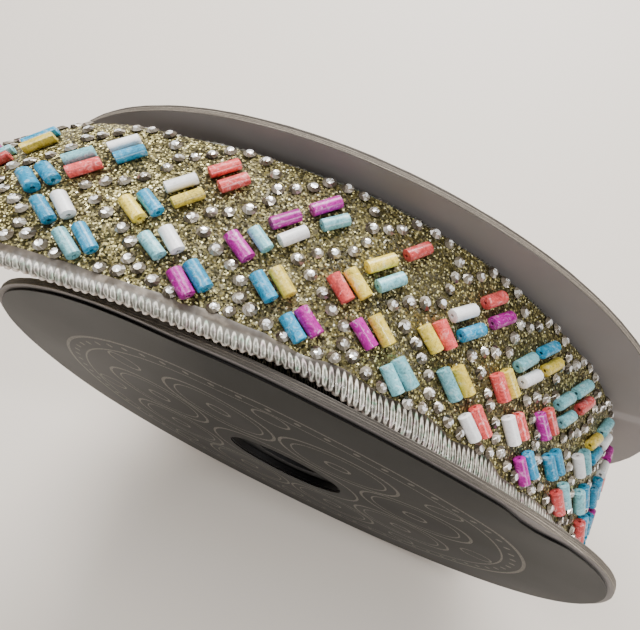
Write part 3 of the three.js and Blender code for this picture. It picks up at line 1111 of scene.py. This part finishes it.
class REEL_OT_wired_edges(bpy.types.Operator):
    """Makes the two wired edges, overcast with loops of clear thread"""

    bl_idname = "reel.wired_edges"
    bl_label = "Wired edges"

    def execute(self, context):
        ribbon = context.scene.ribbon_settings
        first, last = place_at_angle(TAIL_ANGLE), place_at_angle(PATH["angle"][-1] - 1)
        # Side, border across the ribbon, width, direction inwards, height share, brightness
        sides = (
            ("front", 0.0, ribbon.front_edge, 1, 1.0, 1.0),
            ("back", ribbon.width, ribbon.back_edge, -1, 0.4, 0.3),
        )
        for side, *section, tone in sides:
            edge = self.overcast(side + "_wired_edge", ribbon, first, last, *section)
            material = clear_thread(ribbon, first, last, tone)
            dress(edge, material, "clear_thread", "loose_turn_" + side + "_binding")
        return {"FINISHED"}

    def overcast(self, name, ribbon, first, last, border, width, inwards, stands):
        """A flat cord along the border with a tape on its inner side, ribbed by the loops."""
        # Section from under the border, round it and over to the tape: across and height, as
        # shares of the width and in millimetres, and how strongly the loops shape it
        section = np.array([
            (0.42, -1.15, 0.2), (0.20, -1.05, 0.6), (0.06, -0.65, 1.0), (0.01, -0.1, 1.0),
            (0.03, 0.4, 1.0), (0.11, 0.8, 1.0), (0.24, 1.05, 1.0), (0.38, 1.15, 1.0),
            (0.52, 1.15, 0.8), (0.66, 1.1, 0.4), (0.78, 1.05, 0.12), (0.92, 1.0, 0.05),
            (1.06, 0.9, 0.02), (1.08, -0.95, 0.0), (0.7, -1.05, 0.0), (0.42, -1.15, 0.2),
        ])
        share, height, ribbed = section[:, 0], section[:, 1] * stands, section[:, 2]
        samples = 7
        columns = int((last - first) / ribbon.stitch * samples)
        rows = len(section) - 1
        size = np.random.default_rng(5).uniform(0.6, 1.2, columns // samples + 4)
        loose, wound = LOOPS_WIDEN

        def place(share_along, share_across):
            row = np.rint(share_across * rows).astype(int)
            along = first + (last - first) * share_along
            angle = np.interp(along, PATH["along"], PATH["angle"])
            loop = (along - first) / ribbon.stitch + share_across * LOOP_SLANT
            own = size[np.clip(loop.astype(int), 0, len(size) - 1)]
            tooth = np.sqrt(np.clip(1 - (2 * (loop % 1) - 1) ** 2, 0, 1)) * own
            scallop = 0.16 * np.cos(2 * np.pi * (along - first) / SCALLOP) * (row < 6)
            # The loops shape the whole band where they reach over it
            reach_over = np.clip((angle - loose) / (wound - loose), 0, 1)
            swell = ribbed[row] ** (1 - 0.75 * reach_over) * (0.26 * tooth - 0.15 + scallop)
            out_across, out_height = (share[row] - 0.45) * width, height[row]
            reach = np.hypot(out_across, out_height)
            outer, inner = self.borders(angle, inwards)
            side = share[row] * width + outer * (1 - share[row]) + inner * share[row]
            side = side + out_across / reach * swell
            lifted = height[row] + out_height / reach * swell
            wave = 0.12 * np.sin(along / 2.9) + 0.08 * np.sin(along / 1.3 + 1)
            return lay(along, border + inwards * side, lifted + wave)

        edge = mapped_grid(name, columns, rows, place)
        close_seams(edge)
        return smooth(edge, 60)

    def borders(self, angle, inwards):
        """How far in the outer and the inner border lie. Only the front edge has waves."""
        if inwards < 0:
            return 0.0, 0.0
        table = np.array(EDGE_WAVES)
        at = np.clip(angle, table[0, 0], table[-1, 0])
        return (through_table(table[:, 0], table[:, column], at) for column in (1, 2))


def chevrons():
    """Chevrons along the whole ribbon: those that show, and others at the same pitch."""
    random = np.random.default_rng(21)
    rows = list(SEEN_CHEVRONS)
    place = SEEN_CHEVRONS[0][0] - CHEVRON_PITCH
    while place > place_at_angle(TAIL_ANGLE) - CHEVRON_PITCH:
        rows.insert(0, (place, "." * len(BEAD_PLACES)))
        place -= CHEVRON_PITCH
    place = SEEN_CHEVRONS[-1][0] + CHEVRON_PITCH
    while place < place_at_angle(COVERED_ANGLE):
        rows.append((place, "." * len(BEAD_PLACES)))
        place += CHEVRON_PITCH
    letters = list(COLOUR_LETTERS)
    return [
        (place, "".join(random.choice(letters) if c == "." else c for c in colours))
        for place, colours in rows
    ]


def shows(along, margin):
    """Whether a trim of that size lies on the ribbon and isn't under the loose turn."""
    first, last = place_at_angle(TAIL_ANGLE) + margin, place_at_angle(COVERED_ANGLE)
    parting = place_at_angle((LOOSE_END_ANGLE + PARTING_ANGLE) / 2)
    return first < along < last and abs(along - parting) > margin


class REEL_OT_tube_beads(bpy.types.Operator):
    """Sews on the tube beads in chevrons of pairs, one piece for each colour"""

    bl_idname = "reel.tube_beads"
    bl_label = "Tube beads"

    def execute(self, context):
        trim = context.scene.trim_settings
        points, faces = self.one_bead(trim)
        placed = self.places()
        for name, letters in BEAD_COLOURS.items():
            copies, tones = [], []
            for letter, along, across, turned, stretch, girth, tone in placed:
                if letter not in letters:
                    continue
                long, wide = points[:, 0] * stretch, points[:, 1] * girth
                tall = BEAD_HEIGHT + (points[:, 2] - BEAD_HEIGHT) * girth
                cosine, sine = math.cos(turned), math.sin(turned)
                copies.append(lay(
                    along + long * cosine - wide * sine,
                    across + long * sine + wide * cosine,
                    tall,
                ) * MM)
                tones.append(tone * (0.5 if letter == "t" else 1.0))
            piece = repeated("beads_" + name, copies, faces, point_values=np.array(tones))
            depth = 0.15 if name == "white" else 0.45
            dress(smooth(piece, 45), dyed_bead(name, getattr(trim, name), depth), "bugle_bead")
        return {"FINISHED"}

    def one_bead(self, trim):
        """A tube with ten sides, a hole through it and softened ends, lying along X."""
        deselect_all()
        middle = (0, 0, BEAD_HEIGHT * MM)
        bpy.ops.mesh.primitive_cylinder_add(
            vertices=10,
            radius=trim.bead_diameter / 2 * MM,
            depth=trim.bead_length * MM,
            end_fill_type="NGON",
            rotation=(0, math.pi / 2, 0),
            location=middle,
        )
        bead = named_piece("bead")
        bpy.ops.object.transform_apply(location=True, rotation=True, scale=True)
        edit_faces(bead, lambda normal: abs(normal.x) > 0.9)
        wall = (trim.bead_diameter - trim.bead_hole) / 2 * MM
        bpy.ops.mesh.inset(thickness=wall * 0.3, depth=0)
        bpy.ops.transform.resize(value=(1.05, 1, 1), center_override=middle)
        bpy.ops.mesh.inset(thickness=wall * 0.7, depth=0)
        bpy.ops.mesh.bridge_edge_loops()
        bpy.ops.object.mode_set(mode="OBJECT")
        return template_of(bead)

    def places(self):
        """Every bead: colour, place, direction, stretch, girth and tone."""
        random = np.random.default_rng(8)
        found = []
        for start, colours in chevrons():
            for letter, (along, across, direction) in zip(colours, BEAD_PLACES):
                shake = random.normal(0, 1, 4)
                tone, girth = random.uniform(0, 1), random.uniform(0.88, 1.04)
                at = start + along + 0.12 * shake[0]
                if letter == "-" or not shows(at, 3.2):
                    continue
                turned = math.radians(direction + 2.2 * shake[2])
                stretch = 0.97 + 0.04 * shake[3]
                found.append((letter, at, across + 0.12 * shake[1], turned, stretch, girth, tone))
        return found


class REEL_OT_rhinestones(bpy.types.Operator):
    """Sets the rhinestones in rows between the chevrons"""

    bl_idname = "reel.rhinestones"
    bl_label = "Rhinestones"

    def execute(self, context):
        points, faces = self.one_stone(context.scene.trim_settings)
        random = np.random.default_rng(31)
        copies = []
        for start, _ in chevrons():
            for along, across in STONE_PLACES:
                shake = random.normal(0, 1, 5)
                at = start + along + 0.15 * shake[0]
                if not shows(at, 1.6):
                    continue
                turned = random.uniform(0, 2 * np.pi)
                size = 1 + 0.05 * shake[2]
                wide = points[:, 0] * math.cos(turned) - points[:, 1] * math.sin(turned)
                deep = points[:, 0] * math.sin(turned) + points[:, 1] * math.cos(turned)
                lean = 0.07 * (wide * shake[3] + deep * shake[4])
                copies.append(lay(
                    at + wide * size,
                    across + 0.15 * shake[1] + deep * size,
                    STONE_HEIGHT + points[:, 2] + lean,
                ) * MM)
        painted_facet_glints = self.painted_facet_glints(points, faces, len(copies), random)
        stones = repeated("rhinestones", copies, faces, face_values=painted_facet_glints.ravel())
        dress(stones, foiled_glass(), "rhinestone")
        return {"FINISHED"}

    def painted_facet_glints(self, points, faces, count, random):
        """Painted reflection of each facet: the table gets painted flashes, the crown is painted
        bright on one side of each stone, and the skirt is painted dim as shade."""
        middles = np.array([points[list(face)].mean(axis=0) for face in faces])
        turn = np.arctan2(middles[:, 1], middles[:, 0])
        table = np.interp(middles[:, 2], [1.0, 1.1], [0, 1])
        lit = np.interp(middles[:, 2], [0.3, 0.7], [0.3, 1.0])
        side = 0.5 + 0.5 * np.cos(turn - random.uniform(0, 2 * np.pi, (count, 1)))
        spark = random.uniform(0, 1, (count, len(faces)))
        flash = np.where(spark > 0.35, 0.75, 0.2)
        return lit * ((0.38 * side + 0.26 * spark) * (1 - table) + (0.32 + flash) * table)

    def one_stone(self, trim):
        """A low cut stone: a table of nine facets, a crown of pointed ones and a skirt."""
        deselect_all()
        radius = trim.stone_diameter / 2 * MM
        bpy.ops.mesh.primitive_cone_add(
            vertices=9, radius1=radius, radius2=radius * 0.52, depth=0.62 * MM,
            end_fill_type="NGON",
        )
        stone = named_piece("stone")
        edit_faces(stone, lambda normal: normal.z > 0.9)
        bpy.ops.transform.rotate(
            value=math.radians(20), orient_axis="Z", center_override=(0, 0, 0)
        )
        bpy.ops.mesh.poke(offset=0.08 * MM)
        edit_faces(stone, lambda normal: normal.z < -0.9)
        bpy.ops.mesh.extrude_region_move(TRANSFORM_OT_translate={"value": (0, 0, -0.4 * MM)})
        bpy.ops.transform.resize(value=(0.86, 0.86, 1), center_override=(0, 0, 0))
        bpy.ops.mesh.select_all(action="SELECT")
        bpy.ops.mesh.quads_convert_to_tris(quad_method="FIXED", ngon_method="BEAUTY")
        bpy.ops.mesh.normals_make_consistent(inside=False)
        bpy.ops.transform.translate(value=(0, 0, 0.72 * MM))
        bpy.ops.object.mode_set(mode="OBJECT")
        return template_of(stone)


class REEL_OT_declare_cloth(bpy.types.Operator):
    bl_idname = "reel.declare_cloth"
    bl_label = "Declare cloth"

    def execute(self, context):
        return {"FINISHED"}


class REEL_OT_stage(bpy.types.Operator):
    """Sets the floor, the soft light and the camera"""

    bl_idname = "reel.stage"
    bl_label = "Stage"

    def execute(self, context):
        stage = context.scene.stage_settings
        deselect_all()
        bpy.ops.mesh.primitive_plane_add(size=6.0, location=(0, 0, 0))
        floor = named_piece("floor")
        floor.data.materials.append(painted_floor(stage.floor))
        world = bpy.data.worlds.new("soft_room")
        world.use_nodes = True
        background = world.node_tree.nodes["Background"].inputs
        background["Color"].default_value = (0.97, 0.985, 1.0, 1.0)
        background["Strength"].default_value = stage.soft_light
        context.scene.world = world
        for name, place, size, power in LIGHTS:
            bpy.ops.object.light_add(type="AREA", location=place)
            light = named_piece(name)
            light.data.size = size
            light.data.energy = power
            aim = Vector(LIGHT_AIM) - Vector(place)
            light.rotation_euler = aim.to_track_quat("-Z", "Y").to_euler()
        right, back, up = CAMERA_PLACE
        place = Vector((AXIS_X + right, FRONT_INNER_FACE + back, AXIS_Z + up)) * MM
        turn = [math.radians(angle) for angle in CAMERA_TURN]
        bpy.ops.object.camera_add(location=place, rotation=turn)
        camera = bpy.context.object
        camera.name = "camera"
        camera.data.sensor_width = 36.0
        camera.data.lens = stage.lens
        camera.data.clip_start = 0.005
        camera.data.dof.use_dof = False
        context.scene.camera = camera
        return {"FINISHED"}


class REEL_PT_panel(bpy.types.Panel):
    """Lists the reel's pieces and settings"""

    bl_idname = "REEL_PT_panel"
    bl_label = "Beaded ribbon"
    bl_space_type = "VIEW_3D"
    bl_region_type = "UI"
    bl_category = "Ribbon"

    def draw(self, context):
        for group in ("reel_settings", "ribbon_settings", "trim_settings", "stage_settings"):
            box = self.layout.box()
            settings = getattr(context.scene, group)
            for name in settings.__annotations__:
                box.prop(settings, name)
        for operator in STEPS:
            self.layout.operator(operator.bl_idname)


STEPS = (
    REEL_OT_stage,
    REEL_OT_card_boards,
    REEL_OT_printed_facings,
    REEL_OT_hub,
    REEL_OT_glitter_cloth,
    REEL_OT_wired_edges,
    REEL_OT_tube_beads,
    REEL_OT_rhinestones,
    REEL_OT_declare_cloth,
)
GROUPS = {
    "reel_settings": ReelSettings,
    "ribbon_settings": RibbonSettings,
    "trim_settings": TrimSettings,
    "stage_settings": StageSettings,
}


def register():
    for name, group in GROUPS.items():
        bpy.utils.register_class(group)
        setattr(bpy.types.Scene, name, bpy.props.PointerProperty(type=group))
    for cls in (*STEPS, REEL_PT_panel):
        bpy.utils.register_class(cls)


def unregister():
    for cls in (REEL_PT_panel, *reversed(STEPS)):
        bpy.utils.unregister_class(cls)
    for name, group in GROUPS.items():
        delattr(bpy.types.Scene, name)
        bpy.utils.unregister_class(group)


def main():
    """Makes the object step by step."""
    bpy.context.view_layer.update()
    register()
    bpy.ops.reel.stage()
    bpy.ops.reel.card_boards()
    bpy.ops.reel.printed_facings()
    bpy.ops.reel.hub()
    bpy.ops.reel.glitter_cloth()
    bpy.ops.reel.wired_edges()
    bpy.ops.reel.tube_beads()
    bpy.ops.reel.rhinestones()
    bpy.ops.reel.declare_cloth()


if __name__ == "__main__":
    main()
